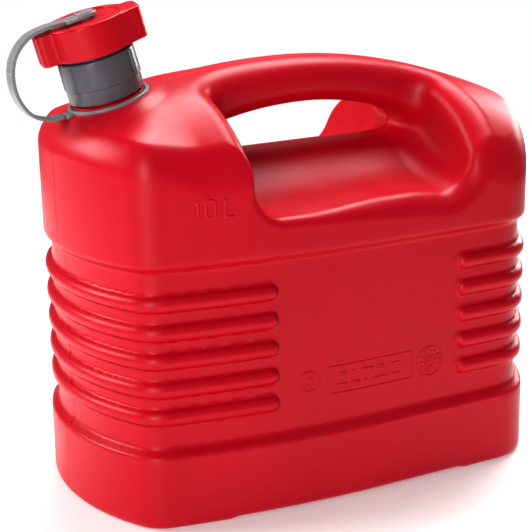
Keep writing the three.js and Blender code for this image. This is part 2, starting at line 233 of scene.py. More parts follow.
def outline_arcs():
    """The plan outline's side as tangent arcs: centre, radius, first and last outward angle."""
    arcs = []
    x, y, heading = -LENGTH / 2, 0.0, -math.pi / 2
    for turn, radius in (FRONT_END, FRONT_CORNER, SIDE_BOW, BACK_CORNER, (BACK_END_TURN, None)):
        if radius is None:
            radius = -y / math.sin(turn)
        centre_x = x - radius * math.sin(heading)
        centre_y = y + radius * math.cos(heading)
        arcs.append((centre_x, centre_y, radius, heading - math.pi / 2, heading + turn - math.pi / 2))
        heading += turn
        x = centre_x + radius * math.sin(heading)
        y = centre_y - radius * math.cos(heading)
        if radius == SIDE_BOW[1]:
            arcs.append((x, x + SIDE_STRAIGHT, y))
            x += SIDE_STRAIGHT
    return arcs


OUTLINE = outline_arcs()


def plan_distance(x, y):
    """Distance to the plan outline, negative inside, true near the outline."""
    y = -np.abs(y)
    found = np.full(np.broadcast(x, y).shape, -60.0)
    for arc in OUTLINE:
        if len(arc) == 3:
            start, end, side = arc
            distance = side - y
            inside = (x >= start) & (x <= end)
        else:
            centre_x, centre_y, radius, first, last = arc
            angle = np.arctan2(y - centre_y, x - centre_x)
            distance = np.hypot(x - centre_x, y - centre_y) - radius
            inside = (angle >= first - 1e-6) & (angle <= last + 1e-6) & (distance > -radius * 0.98)
        found = np.where(inside, np.maximum(found, distance), found)
    return found


def roof_distance(x, y, z):
    """Distance to the crowned roof, which falls away to the ends and the sides."""
    along = x - ROOF_CENTRE
    radius = np.where(along < 0, *ROOF_RADII)
    fall, half, power = ROOF_FALL
    wide = np.abs(y) / half
    share, flatter_from, flatter_to = ROOF_FLATTER
    flatter = 1 - share * smoothstep(-x, flatter_from, flatter_to)
    height = ROOF_TOP - along**2 / (2 * radius) - flatter * fall * wide**power
    slope_x = along / radius
    slope_y = flatter * fall * power / half * wide ** (power - 1)
    return (z - height) / np.sqrt(1 + slope_x**2 + slope_y**2)


def walls_distance(x, y, z):
    plan = plan_distance(x, y)
    core = plan + RECESS
    for level in range(BEAD_COUNT):
        height = BEAD_TOP - level * BEAD_PITCH
        beyond = np.minimum(np.maximum(x - BEAD_TIPS[0], 0), np.maximum(BEAD_TIPS[1] - x, 0))
        bead = np.sqrt((plan + BEAD_RADIUS) ** 2 + (z - height) ** 2 + beyond**2) - BEAD_RADIUS
        core = round_min(core, bead, BEAD_FILLET)
    shell = round_max(plan, (plan + SHELL_BOTTOM - z) * math.sqrt(0.5), SHELL_EDGE)
    drop = BASE_OUTSET + RECESS
    chamfer = ((plan - BASE_OUTSET) * CHAMFER + (z - BASE_TOP) * drop) / math.hypot(drop, CHAMFER)
    base = round_max(plan - BASE_OUTSET, chamfer, SHELL_EDGE)
    walls = round_min(round_min(core, base, STEP_FILLET), shell, STEP_FILLET)
    gap_start, gap_end = FOOT_GAP
    foot = FOOT_RELIEF * smoothstep(x, gap_start - FOOT_RAMP, gap_start + FOOT_RAMP)
    foot = foot * (1 - smoothstep(x, gap_end - FOOT_RAMP, gap_end + FOOT_RAMP))
    return round_max(walls, foot - z, FOOT_EDGE)


def scoop_distance(x, y, z):
    """The grip's hollow on both sides, open at the top, joined over a ridge under the handle."""
    side = np.abs(y)
    tall, wide, power = SCOOP_RIDGE
    floor = SCOOP_FLOOR - SCOOP_FLOOR_FALL * side + tall * np.exp(-((side / wide) ** power))
    swell, swell_from, swell_to = SCOOP_FLOOR_SWELL
    dip, dip_from, dip_to = SCOOP_FLOOR_DIP
    lift = swell * smoothstep(x, swell_from, swell_to) - dip * smoothstep(x, dip_from, dip_to)
    floor = floor + lift * np.minimum(side / 92, 1) ** 2
    bow, bow_half = SCOOP_FRONT_BOW
    front = SCOOP_FRONT + bow * np.exp(-((y / bow_half) ** 2))
    back = SCOOP_BACK + SCOOP_FLARE * (z - 200) * np.minimum(side / 90, 1)
    front_wall = front - x
    back_wall = (x - back) * 0.94
    hollow = round_max(front_wall, (floor - z) * 0.96, SCOOP_CORNERS[0])
    return round_max(hollow, back_wall, SCOOP_CORNERS[1])


def handle_distance(x, y, z):
    along = x - HANDLE_MIDDLE
    under = HANDLE_UNDER - np.where(along < 0, *HANDLE_SAGS) * along**2
    wider, reach = HANDLE_WIDENING
    half = HANDLE_HALF + wider * np.abs(along / reach) ** 3
    bar = round_max(np.abs(y) - half, under - z, HANDLE_EDGE)
    return np.maximum(bar, np.abs(along) - HANDLE_REACH)


def neck_place(x, y, z):
    """Height along the neck's axis and distance from it."""
    from_x, from_z = x - NECK_X, z - NECK_Z
    height = from_x * NECK_AXIS[0] + from_z * NECK_AXIS[2]
    across = from_x * NECK_AXIS[2] - from_z * NECK_AXIS[0]
    return height, np.hypot(across, y)


def platform_distance(x, y, z):
    height, radius = neck_place(x, y, z)
    top_radius, foot_radius, top, depth = PLATFORM
    widening = (foot_radius - top_radius) / depth
    cone = top_radius + np.clip(top - height, 0, depth) * widening
    side = (radius - cone) * math.cos(math.atan(widening))
    return np.maximum(round_max(side, height - top, PLATFORM_EDGE), PLATFORM_BOTTOM - height)


def can_distance(points):
    x, y, z = points.T
    body = walls_distance(x, y, z)
    edge = SCOOP_EDGES[0] + (SCOOP_EDGES[1] - SCOOP_EDGES[0]) * smoothstep(x, *SCOOP_EDGE_RAMP)
    body = round_max(body, -scoop_distance(x, y, z), edge)
    body = round_min(body, handle_distance(x, y, z), HANDLE_FILLET)
    body = round_max(body, roof_distance(x, y, z), ROOF_EDGE)
    return round_min(body, platform_distance(x, y, z), PLATFORM_FILLET)


# The cap: bottom and top; radius and ceiling of the bore; radius and depth of the dish; and the fillets on
# the two sides of each finger lobe, one smooth and one sharp.
CAP_RADIUS = 24.6
CAP_LEVELS = (29.3, 48.7)
CAP_BORE = (21.6, 45.5)
CAP_DISH = (20.8, 1.0)
CAP_HOLE = 4.0
LOBE_REACH = 32.0
LOBE_HALF = 11.0
LOBE_TURN = math.radians(-12)
LOBE_FILLETS = (9.0, 1.5)


def cap_distance(points):
    """The screw cap along the neck's axis: a round cup with two finger lobes and a dished top."""
    x, y, z = points.T
    radius = np.hypot(x, y)
    turned_x = x * math.cos(LOBE_TURN) + y * math.sin(LOBE_TURN)
    turned_y = y * math.cos(LOBE_TURN) - x * math.sin(LOBE_TURN)
    lobe = round_max(np.abs(turned_y) - LOBE_HALF, np.abs(turned_x) - LOBE_REACH, 4.5)
    fillet = np.where(turned_x * turned_y < 0, *LOBE_FILLETS)
    plan = round_min(radius - CAP_RADIUS, lobe, fillet)
    low, high = CAP_LEVELS
    lobe_top = high - 0.5 * smoothstep(radius, CAP_RADIUS - 0.2, CAP_RADIUS + 0.4)
    cap = round_max(plan, z - lobe_top, 1.2)
    cap = round_max(cap, low - z, 0.9)
    dish_radius, dish = CAP_DISH
    cap = round_max(cap, -np.maximum(radius - dish_radius, high - dish - z), 0.5)
    cap = round_max(cap, -np.maximum(radius - CAP_BORE[0], z - CAP_BORE[1]), 0.4)
    return round_max(cap, CAP_HOLE - radius, 0.4)


# ---------------------------------------------------------------- meshes


def surface_nets(distance, low, high, cell):
    """A closed quad mesh where the distance is zero, with a point in each cell that the surface crosses."""
    low = np.asarray(low, float)
    counts = np.ceil((np.asarray(high, float) - low) / cell).astype(int) + 1
    ticks = [low[i] + cell * np.arange(counts[i]) for i in range(3)]
    value = np.empty(counts)
    for i, x in enumerate(ticks[0]):
        y, z = np.meshgrid(ticks[1], ticks[2], indexing="ij")
        layer = np.column_stack([np.full(y.size, x), y.ravel(), z.ravel()])
        value[i] = distance(layer).reshape(y.shape)
    inside = value < 0
    total = np.zeros((*(counts - 1), 3))
    hits = np.zeros(counts - 1)
    crossings = []
    for axis in range(3):
        first = np.take(value, range(counts[axis] - 1), axis)
        last = np.take(value, range(1, counts[axis]), axis)
        crossed = (first < 0) != (last < 0)
        share = np.where(crossed, first / np.where(crossed, first - last, 1), 0)
        crossings.append(crossed)
        others = [(axis + 1) % 3, (axis + 2) % 3]
        for step_b in (0, 1):
            for step_c in (0, 1):
                window = [slice(None)] * 3
                window[others[0]] = slice(step_b, step_b + counts[others[0]] - 1)
                window[others[1]] = slice(step_c, step_c + counts[others[1]] - 1)
                here = crossed[tuple(window)]
                hits += here
                total[..., axis] += share[tuple(window)] * here
                total[..., others[0]] += step_b * here
                total[..., others[1]] += step_c * here
    cells = np.argwhere(hits > 0)
    points = (cells + total[hits > 0] / hits[hits > 0][:, None]) * cell + low
    number = np.full(counts - 1, -1)
    number[hits > 0] = np.arange(len(cells))
    faces = []
    for axis in range(3):
        b, c = (axis + 1) % 3, (axis + 2) % 3
        edges = np.argwhere(crossings[axis])
        edges = edges[(edges[:, b] > 0) & (edges[:, c] > 0)]
        edges = edges[(edges[:, b] < counts[b] - 1) & (edges[:, c] < counts[c] - 1)]
        ring = []
        for step_b, step_c in ((-1, -1), (0, -1), (0, 0), (-1, 0)):
            corner = edges.copy()
            corner[:, b] += step_b
            corner[:, c] += step_c
            ring.append(number[tuple(corner.T)])
        ring = np.column_stack(ring)
        outward = inside[tuple(edges.T)]
        faces += [ring[outward], ring[~outward][:, ::-1]]
    return points, np.concatenate(faces)


def gradient(distance, points, step=0.1):
    slopes = []
    for axis in range(3):
        shift = np.zeros(3)
        shift[axis] = step
        slopes.append((distance(points + shift) - distance(points - shift)) / (2 * step))
    return np.column_stack(slopes)


def settle(distance, points, rounds=3, reach=1.0):
    """Moves the points on to the surface."""
    for _ in range(rounds):
        slope = gradient(distance, points)
        move = distance(points) / np.maximum((slope**2).sum(1), 0.2)
        points = points - slope * np.clip(move, -reach, reach)[:, None]
    return points


def new_mesh(name, points, faces, smooth=True):
    mesh = bpy.data.meshes.new(name)
    mesh.from_pydata([tuple(p) for p in points], [], [tuple(int(i) for i in f) for f in faces])
    mesh.validate()
    mesh.polygons.foreach_set("use_smooth", [smooth] * len(mesh.polygons))
    mesh.update()
    return mesh


def new_object(name, points, faces, material=None, smooth=True):
    """A piece from points in the can's coordinates."""
    piece = bpy.data.objects.new(name, new_mesh(name, to_frame(points), faces, smooth))
    bpy.context.collection.objects.link(piece)
    if material:
        piece.data.materials.append(material)
    return piece


def turned(profile, segments=96):
    """Points and faces of a closed profile of (radius, height) turned about the neck's axis."""
    profile = np.array(profile, float)
    angles = 2 * np.pi * np.arange(segments) / segments
    count = len(profile)
    radius, height = profile.T
    rings = [np.column_stack([radius * math.cos(a), radius * math.sin(a), height]) for a in angles]
    points = np.concatenate(rings)
    faces = []
    for i in range(segments):
        after = (i + 1) % segments
        for j in range(count):
            k = (j + 1) % count
            faces.append((i * count + j, after * count + j, after * count + k, i * count + k))
    return points, faces


def rounded(corners, radius, steps=4):
    """A closed profile with its corners rounded; each corner is (r, z) or (r, z, its own radius)."""
    out = []
    count = len(corners)
    for i, corner in enumerate(corners):
        here = np.array(corner[:2], float)
        before = np.array(corners[i - 1][:2], float)
        after = np.array(corners[(i + 1) % count][:2], float)
        own = corner[2] if len(corner) > 2 else radius
        to_before = before - here
        to_after = after - here
        cut = min(own, 0.45 * np.linalg.norm(to_before), 0.45 * np.linalg.norm(to_after))
        start = here + to_before / np.linalg.norm(to_before) * cut
        end = here + to_after / np.linalg.norm(to_after) * cut
        for k in range(steps + 1):
            t = k / steps
            out.append((1 - t) ** 2 * start + 2 * t * (1 - t) * here + t * t * end)
    return out


def sweep(section, stations, closed=False):
    """Points and faces of a section carried along stations of (place, across, out)."""
    points = []
    for place, across, out in stations:
        points += [np.asarray(place) + a * np.asarray(across) + b * np.asarray(out) for a, b in section]
    width = len(section)
    count = len(stations)
    faces = []
    for i in range(count if closed else count - 1):
        for j in range(width):
            k = (j + 1) % width
            after = (i + 1) % count
            faces.append((i * width + j, after * width + j, after * width + k, i * width + k))
    if not closed:
        faces.append(tuple(range(width)))
        faces.append(tuple((count - 1) * width + j for j in reversed(range(width))))
    return np.array(points), faces


def even_spline(points, count):
    """Evenly spaced points on a smooth curve through the given ones."""
    points = np.array(points, float)
    ends = np.vstack([2 * points[0] - points[1], points, 2 * points[-1] - points[-2]])
    fine = []
    for i in range(1, len(ends) - 2):
        a, b, c, d = ends[i - 1 : i + 3]
        square = 2 * a - 5 * b + 4 * c - d
        cube = 3 * b - a - 3 * c + d
        for t in np.linspace(0, 1, 24, endpoint=False):
            fine.append(0.5 * (2 * b + (c - a) * t + square * t**2 + cube * t**3))
    fine = np.array(fine + [points[-1]])
    run = np.concatenate([[0], np.cumsum(np.linalg.norm(np.diff(fine, axis=0), axis=1))])
    at = np.linspace(0, run[-1], count)
    return np.column_stack([np.interp(at, run, fine[:, i]) for i in range(fine.shape[1])])


def join_parts(parts):
    points, faces, base = [], [], 0
    for part_points, part_faces in parts:
        points.append(np.asarray(part_points, float))
        faces += [tuple(int(i) + base for i in face) for face in part_faces]
        base += len(part_points)
    return np.concatenate(points), faces


def helix_ridge(radius, low, turns, height, half):
    """A screw thread's ridge about the neck's axis, fading out at both ends."""
    steps = int(48 * turns)
    stations = []
    for i in range(steps + 1):
        t = i / steps
        angle = 2 * math.pi * turns * t
        fade = min(1, 12 * t + 0.05, 12 * (1 - t) + 0.05)
        out = np.array([math.cos(angle), math.sin(angle), 0])
        place = out * (radius - 0.3) + (0, 0, low + THREAD_PITCH * turns * t)
        stations.append((place, (0, 0, 1), out * fade))
    section = [(-half, 0), (half, 0), (half * 0.45, height + 0.3), (-half * 0.45, height + 0.3)]
    return sweep(section, stations)


# ---------------------------------------------------------------- materials


def srgb(red, green, blue):
    def linear(value):
        value /= 255
        return value / 12.92 if value <= 0.04045 else ((value + 0.055) / 1.055) ** 2.4

    return (linear(red), linear(green), linear(blue), 1)


class Nodes:
    """A material's node tree, with short calls for the nodes used here."""

    def __init__(self, name):
        self.material = bpy.data.materials.new(name)
        self.material.use_nodes = True
        self.tree = self.material.node_tree
        self.shader = self.tree.nodes["Principled BSDF"]
        self.place = self.tree.nodes.new("ShaderNodeTexCoord").outputs["Object"]

    def noise(self, scale, detail=3.0, roughness=0.5, stretch=None):
        node = self.tree.nodes.new("ShaderNodeTexNoise")
        node.inputs["Scale"].default_value = scale
        node.inputs["Detail"].default_value = detail
        node.inputs["Roughness"].default_value = roughness
        source = self.place
        if stretch:
            mapping = self.tree.nodes.new("ShaderNodeMapping")
            mapping.inputs["Scale"].default_value = stretch
            self.tree.links.new(source, mapping.inputs["Vector"])
            source = mapping.outputs["Vector"]
        self.tree.links.new(source, node.inputs["Vector"])
        return node.outputs["Fac"]

    def spread(self, source, low, high, to_low, to_high):
        node = self.tree.nodes.new("ShaderNodeMapRange")
        for key, value in (("From Min", low), ("From Max", high), ("To Min", to_low), ("To Max", to_high)):
            node.inputs[key].default_value = value
        self.tree.links.new(source, node.inputs["Value"])
        return node.outputs["Result"]

    def blend(self, share, one, other):
        node = self.tree.nodes.new("ShaderNodeMix")
        node.data_type = "RGBA"
        self.tree.links.new(share, node.inputs["Factor"])
        for key, value in ((6, one), (7, other)):
            if isinstance(value, tuple):
                node.inputs[key].default_value = value
            else:
                self.tree.links.new(value, node.inputs[key])
        return node.outputs[2]

    def bump(self, source, strength, distance, before=None):
        node = self.tree.nodes.new("ShaderNodeBump")
        node.inputs["Strength"].default_value = strength
        node.inputs["Distance"].default_value = distance
        self.tree.links.new(source, node.inputs["Height"])
        if before:
            self.tree.links.new(before, node.inputs["Normal"])
        return node.outputs["Normal"]

    def pointiness(self):
        return self.tree.nodes.new("ShaderNodeNewGeometry").outputs["Pointiness"]

    def into(self, source, socket):
        self.tree.links.new(source, self.shader.inputs[socket])


def plastic(name, colour, deep, worn, rough, grain, wave=0.0, shine=0.5):
    """Moulded plastic: clouded colour, edges rubbed a little paler, a fine grain and uneven gloss."""
    n = Nodes(name)
    clouds = n.spread(n.noise(9, 4), 0.3, 0.7, 0, 1)
    base = n.blend(clouds, deep, colour)
    edges = n.spread(n.pointiness(), 0.53, 0.62, 0, 0.35)
    n.into(n.blend(edges, base, worn), "Base Color")
    gloss = n.spread(n.noise(38, 5, 0.6), 0.3, 0.7, rough - 0.05, rough + 0.06)
    n.into(gloss, "Roughness")
    fine = n.bump(n.noise(grain, 2, 0.6), 0.12, 0.0003)
    if wave:
        fine = n.bump(n.noise(22, 1), wave, 0.004, fine)
    n.into(fine, "Normal")
    n.shader.inputs["IOR"].default_value = 1.5
    n.shader.inputs["Specular IOR Level"].default_value = shine
    return n.material


def red_plastic():
    colours = (srgb(204, 0, 40), srgb(192, 0, 34), srgb(222, 30, 54))
    return plastic("red_polyethylene", *colours, rough=0.36, grain=2600, wave=0.06, shine=0.32)


def cap_plastic():
    colours = (srgb(208, 2, 38), srgb(196, 1, 32), srgb(228, 48, 62))
    return plastic("red_cap_plastic", *colours, rough=0.3, grain=3200, shine=0.35)


def grey_plastic():
    colours = (srgb(102, 101, 106), srgb(90, 89, 94), srgb(142, 142, 146))
    return plastic("grey_collar_plastic", *colours, rough=0.25, grain=3000)


def strap_plastic():
    colours = (srgb(152, 150, 150), srgb(136, 134, 135), srgb(184, 183, 183))
    return plastic("grey_strap_plastic", *colours, rough=0.3, grain=2400)


def seal_rubber():
    colours = (srgb(44, 44, 46), srgb(34, 34, 36), srgb(70, 70, 72))
    return plastic("seal_rubber", *colours, rough=0.6, grain=1800)


RED = red_plastic()
CAP_RED = cap_plastic()
GREY = grey_plastic()
STRAP_GREY = strap_plastic()
RUBBER = seal_rubber()

# ---------------------------------------------------------------- can body


def cut(piece, tool, operation):
    """Joins or cuts one mesh with another, and applies it."""
    modifier = piece.modifiers.new(operation.lower(), "BOOLEAN")
    modifier.operation = operation
    modifier.solver = "MANIFOLD"
    modifier.object = tool
    graph = bpy.context.evaluated_depsgraph_get()
    mesh = bpy.data.meshes.new_from_object(piece.evaluated_get(graph))
    piece.modifiers.clear()
    piece.data = mesh
    bpy.data.objects.remove(tool)


def skin(distance, low, high, cell):
    points, faces = surface_nets(distance, low, high, cell)
    return settle(distance, points), faces


def shading_normals(can, tolerance=0.25):
    """The distance's own normals where the mesh lies on its outer surface, and none elsewhere."""
    points = np.array([v.co for v in can.data.vertices]) / MM - (CAN_X, 0, 0)
    near = np.abs(can_distance(points)) < tolerance
    normals = np.zeros(points.shape)
    slope = gradient(can_distance, points[near])
    normals[near] = slope / np.linalg.norm(slope, axis=1)[:, None]
    return normals


def make_can():
    """The blown can: an outer skin, a hollow inside, and a threaded neck with its bore."""
    cell = 2.3
    can = new_object("can", *skin(can_distance, *CAN_SPACE, cell))

    boss_radius, boss_top = BOSS
    neck = rounded(
        [(2, NECK_ROOT, 0), (boss_radius, NECK_ROOT, 0), (boss_radius, boss_top), (NECK_OUTER, boss_top),
         (NECK_OUTER, NECK_TOP), (2, NECK_TOP, 0)],
        0.6,
    )
    points, faces = turned(neck[::-1])
    cut(can, new_object("neck_tool", on_neck(points), faces), "UNION")
    points, faces = helix_ridge(NECK_OUTER, NECK_THREAD_LOW, THREAD_TURNS, *THREAD_RIDGE)
    cut(can, new_object("thread_tool", on_neck(points), faces), "UNION")

    def inside(points):
        return can_distance(points) + WALL

    hollow = new_object("hollow_tool", *skin(inside, *CAN_SPACE, 6.0))
    cut(can, hollow, "DIFFERENCE")
    above = NECK_TOP + 5
    bore = [(AXIS, BORE_BOTTOM), (NECK_BORE, BORE_BOTTOM), (NECK_BORE, above), (AXIS, above)]
    points, faces = turned(bore[::-1])
    cut(can, new_object("bore_tool", on_neck(points), faces), "DIFFERENCE")
    return can


# ---------------------------------------------------------------- marks moulded on the can


def on_wall(points, lift):
    """Points of the near long side, given as along and up, moved on to the wall and out by their lift."""
    along, up = np.asarray(points, float).T
    place = np.column_stack([along, np.full(len(along), -93.0), up])
    lift = np.broadcast_to(lift, along.shape)
    for _ in range(8):
        place[:, 1] += can_distance(place) - lift
    return place


def ridge_on_wall(path, width, height, closed):
    """A half-round ridge that follows a path on the near long side."""
    path = np.asarray(path, float)
    count = len(path)
    section = [(math.cos(a) * width / 2, math.sin(a) * height) for a in np.linspace(0, math.pi, 6)]
    section += [(-width / 2, -0.5), (width / 2, -0.5)]
    flat, lifts = [], []
    for i, here in enumerate(path):
        before = path[i - 1] if closed or i else here
        after = path[(i + 1) % count] if closed or i < count - 1 else here
        along = (after - before) / np.linalg.norm(after - before)
        across = np.array([-along[1], along[0]])
        flat += [here + across * a for a, _ in section]
        lifts += [b for _, b in section]
    wide = len(section)
    faces = []
    for i in range(count if closed else count - 1):
        for j in range(wide):
            k = (j + 1) % wide
            after = (i + 1) % count
            faces.append((i * wide + j, i * wide + k, after * wide + k, after * wide + j))
    if not closed:
        faces.append(tuple(reversed(range(wide))))
        faces.append(tuple((count - 1) * wide + j for j in range(wide)))
    return on_wall(flat, np.array(lifts)), faces


def circle(centre, radius, steps=48, turn=0.0):
    angles = turn + 2 * np.pi * np.arange(steps) / steps
    return np.array(centre) + radius * np.column_stack([np.cos(angles), np.sin(angles)])


def line(start, end, steps=8):
    return np.linspace(start, end, steps)


def rounded_frame(low, high, radius):
    """A rectangle's outline with round corners, and a few points along each straight side."""
    corners = [(high, 0), ((low[0], high[1]), 1), (low, 2), ((high[0], low[1]), 3)]
    middle = (np.array(low) + high) / 2
    path = []
    for corner, quarter in corners:
        centre = np.array(corner) - radius * np.sign(np.array(corner) - middle)
        for t in np.linspace(0, 1, 6):
            angle = (quarter + t) * math.pi / 2
            path.append(centre + radius * np.array([math.cos(angle), math.sin(angle)]))
        following = corners[(quarter + 1) % 4][0]
        target = np.array(following) - radius * np.sign(np.array(following) - middle)
        angle = (quarter + 1) * math.pi / 2
        offset = radius * np.array([math.cos(angle), math.sin(angle)])
        path += [p + offset for p in np.linspace(centre, target, 8)[1:-1]]
    return np.array(path)


def strokes_ten_litres(low, height):
    """The capacity mark, 10 L, as strokes in a box of the given height."""
    wide = height * 0.5
    gap = height * 0.3
    x, y = low
    one = [(x + wide * 0.15, y + height * 0.78), (x + wide * 0.5, y + height), (x + wide * 0.5, y)]
    x += wide + gap * 0.55
    zero = rounded_frame((x, y), (x + wide * 1.05, y + height), wide * 0.5)
    x += wide * 1.05 + gap * 1.9
    ell = [(x, y + height), (x, y), (x + wide * 0.95, y)]
    return [(one, False), (zero, True), (ell, False)]


def dense(path, step=1.5):
    out = [np.array(path[0], float)]
    for end in path[1:]:
        start = out[-1]
        count = max(2, int(np.linalg.norm(np.array(end) - start) / step) + 1)
        out += list(np.linspace(start, end, count)[1:])
    return out


def make_capacity_mark():
    parts = []
    for path, closed in strokes_ten_litres((-106.5, 188.6), 10.4):
        path = path if closed else dense(path)
        parts.append(ridge_on_wall(path, 1.7, 0.7, closed))
    return new_object("capacity_mark", *join_parts(parts), RED)


def make_moulder_marks():
    """A plain ring, a framed panel with rows of bars, and a month dial with its pointer."""
    ring = (-35.5, 79.5)
    parts = [ridge_on_wall(circle(ring, 6.3), 0.9, 0.45, True)]
    parts.append(ridge_on_wall(circle(ring, 2.4, 24), 0.8, 0.35, True))
    parts.append(ridge_on_wall(rounded_frame((-23, 69), (38, 86.5), 2.0), 0.9, 0.45, True))
    for row, (start, lengths) in enumerate(((-17, (9, 5, 12, 7, 10)), (-19.5, (12, 8, 4, 13, 9)))):
        x = start
        for length in lengths:
            height = 81.2 - 7.2 * row
            parts.append(ridge_on_wall(line((x, height), (x + length - 2.5, height), 5), 2.2, 0.45, False))
            x += length + 1.0
    dial = np.array((50.5, 77.5))
    parts.append(ridge_on_wall(circle(dial, 9.6), 0.9, 0.5, True))
    parts.append(ridge_on_wall(circle(dial, 3.4, 32), 0.9, 0.5, True))
    for month in range(12):
        angle = month * math.pi / 6
        ray = np.array([math.cos(angle), math.sin(angle)])
        parts.append(ridge_on_wall(line(dial + ray * 5.6, dial + ray * 7.9, 3), 1.2, 0.5, False))
    pointer = np.array([math.cos(1.2), math.sin(1.2)])
    parts.append(ridge_on_wall(line(dial - pointer * 1.6, dial + pointer * 2.2, 4), 1.0, 0.5, False))
    return new_object("moulded_marks", *join_parts(parts), RED)


def meet_middle_plane(start, direction, reach, inward=False):
    """Where a ray in the can's middle plane first leaves the can, or first meets it."""
    steps = np.arange(0, reach, 0.5)
    places = np.array(start) + np.outer(steps, direction)
    value = can_distance(np.column_stack([places[:, 0], np.zeros(len(steps)), places[:, 1]]))
    if inward:
        first = np.argmax(value < 0)
    else:
        first = len(value) - 1 - np.argmax(value[::-1] < 0)
    return places[first]


def seam_path(start, angles, reach, inward):
    path = []
    for angle in angles:
        direction = np.array([math.cos(angle), math.sin(angle)])
        here = meet_middle_plane(start, direction, reach, inward)
        path.append((here[0], 0.0, here[1]))
    return settle(can_distance, np.array(path))


def make_seam():
    """The fine parting line round the can's middle plane and round the inside of the grip."""
    parts = []
    outer = seam_path((0, 130), np.radians(np.arange(-88, 268, 1.0)), 260, False)
    height, radius = neck_place(*outer.T)
    clear = ~((radius < PLATFORM[1] - 4) & (height > -30))
    breaks = np.flatnonzero(np.diff(clear.astype(int)))
    for run in np.split(np.arange(len(outer)), breaks + 1):
        if clear[run[0]] and len(run) > 3:
            parts.append((outer[run], False))
    inner = seam_path((10, 221), np.radians(np.arange(0, 360, 4.0)), 110, True)
    parts.append((inner, True))
    meshes = []
    section = [(0.45, -0.3), (0.2, 0.1), (-0.2, 0.1), (-0.45, -0.3)]
    for path, closed in parts:
        out = gradient(can_distance, path)
        out[:, 1] = 0
        out /= np.linalg.norm(out, axis=1)[:, None]
        turn = section if not closed else section[::-1]
        meshes.append(sweep(turn, [(p, (0, 1, 0), o) for p, o in zip(path, out)], closed))
    return new_object("parting_line", *join_parts(meshes), RED)


# ---------------------------------------------------------------- neck fittings


def make_cap():
    cell = 0.62
    points, faces = skin(cap_distance, (-35, -35, CAP_LEVELS[0] - 2), (35, 35, CAP_LEVELS[1] + 2), cell)
    cap = new_object("cap_shell", on_neck(points), faces, CAP_RED)
    normals = gradient(cap_distance, points)
    normals /= np.linalg.norm(normals, axis=1)[:, None]
    turned_normals = on_neck(normals) - (NECK_X, 0, NECK_Z)
    cap.data.normals_split_custom_set_from_vertices(turned_normals.tolist())
    points, faces = helix_ridge(CAP_BORE[0] + 0.3, CAP_THREAD_LOWS[1], THREAD_TURNS, -0.7, 0.8)
    thread = new_object("cap_thread", on_neck(points), [f[::-1] for f in faces], CAP_RED)
    thread.parent = cap
    return cap


def make_collar():
    """The screw collar: a band, a drum with grip ribs, and the threaded rim that takes the cap."""
    bottom, band_top, top, rim_top = COLLAR_BOTTOM, COLLAR_BAND_TOP, COLLAR_TOP, COLLAR_RIM_TOP
    drum, band, rim = COLLAR_RADII
    wide_bore, rim_bore, shoulder = COLLAR_BORES
    profile = rounded(
        [(wide_bore, bottom, 0.4), (band, bottom, 0.5), (band, band_top, 0.2), (drum, band_top + 0.3, 0.3),
         (drum - 0.35, top, 1.0), (rim, top, 0.5), (rim, rim_top, 0.5), (rim_bore, rim_top, 0.5),
         (rim_bore, shoulder, 0.3), (wide_bore, shoulder, 0.3)],
        0.4,
    )
    parts = [turned(profile, 144)]
    parts.append(helix_ridge(rim, CAP_THREAD_LOWS[0], THREAD_TURNS, *THREAD_RIDGE))
    for turn in (COLLAR_RIB_TURN, COLLAR_RIB_TURN + math.pi):
        out = np.array([math.cos(turn), math.sin(turn), 0])
        side = np.array([-math.sin(turn), math.cos(turn), 0])
        section = rounded([(-1.3, -1.2, 0), (1.3, -1.2, 0), (1.0, 1.05), (-1.0, 1.05)], 0.25, 3)
        low, high = band_top + 1.0, top - 1.0
        low_end = [(low, 0), (low + 0.3, 0.85), (low + 0.9, 1)]
        high_end = [(high - 0.9, 1), (high - 0.3, 0.85), (high, 0)]
        stations = []
        for height, grow in low_end + high_end:
            stations.append((out * (drum - 0.1 - 1.4 * (1 - grow)) + (0, 0, height), side, out))
        parts.append(sweep(section[::-1], stations))
    points, faces = join_parts(parts)
    return new_object("collar_shell", on_neck(points), faces, GREY)


def make_ring():
    """The strap's ring round the neck, with a lug that the band grows out of."""
    inner, outer, low, high = RING
    profile = rounded([(inner, low), (outer, low), (outer, high), (inner, high)], 0.8)
    parts = [turned(profile, 120)]
    half, thin = STRAP_WIDTH / 2, STRAP_THICKNESS / 2
    section = rounded([(-half, -thin), (half, -thin), (half, thin), (-half, thin)], 0.6, 3)
    reaches = np.linspace((inner + outer) / 2, RING_TAB, 4)
    stations = [((-reach, 0, (low + high) / 2), (0, 1, 0), (0, 0, 1)) for reach in reaches]
    parts.append(sweep(section[::-1], stations))
    points, faces = join_parts(parts)
    return new_object("strap_ring_shell", on_neck(points), faces, STRAP_GREY)


def strap_section(width, thick):
    half, thin = width / 2, thick / 2
    inner, hollow = half - 1.6, thin - 0.35
    rim = [(-half, -thin), (half, -thin), (half, thin), (inner, hollow), (-inner, hollow), (-half, thin)]
    return rounded(rim, 0.45, 3)


def strap_stations():
    """The whole band from the ring to the tongue: place, across and out, evenly spaced."""
    path = even_spline(STRAP_ROUTE, 2 * BAND_STEPS + 1)
    along = np.gradient(path, axis=0)
    along /= np.linalg.norm(along, axis=1)[:, None]
    stations = []
    for (x, z), (dx, dz) in zip(path, along):
        stations.append(((x, 0, z), (0, 1, 0), (-dz, 0, dx)))
    return stations


def make_band(name, stations):
    """Half of the strap's band, a flat strip with thicker rims."""
    points, faces = sweep(strap_section(STRAP_WIDTH, STRAP_THICKNESS), stations)
    return new_object(name, points, faces, STRAP_GREY)


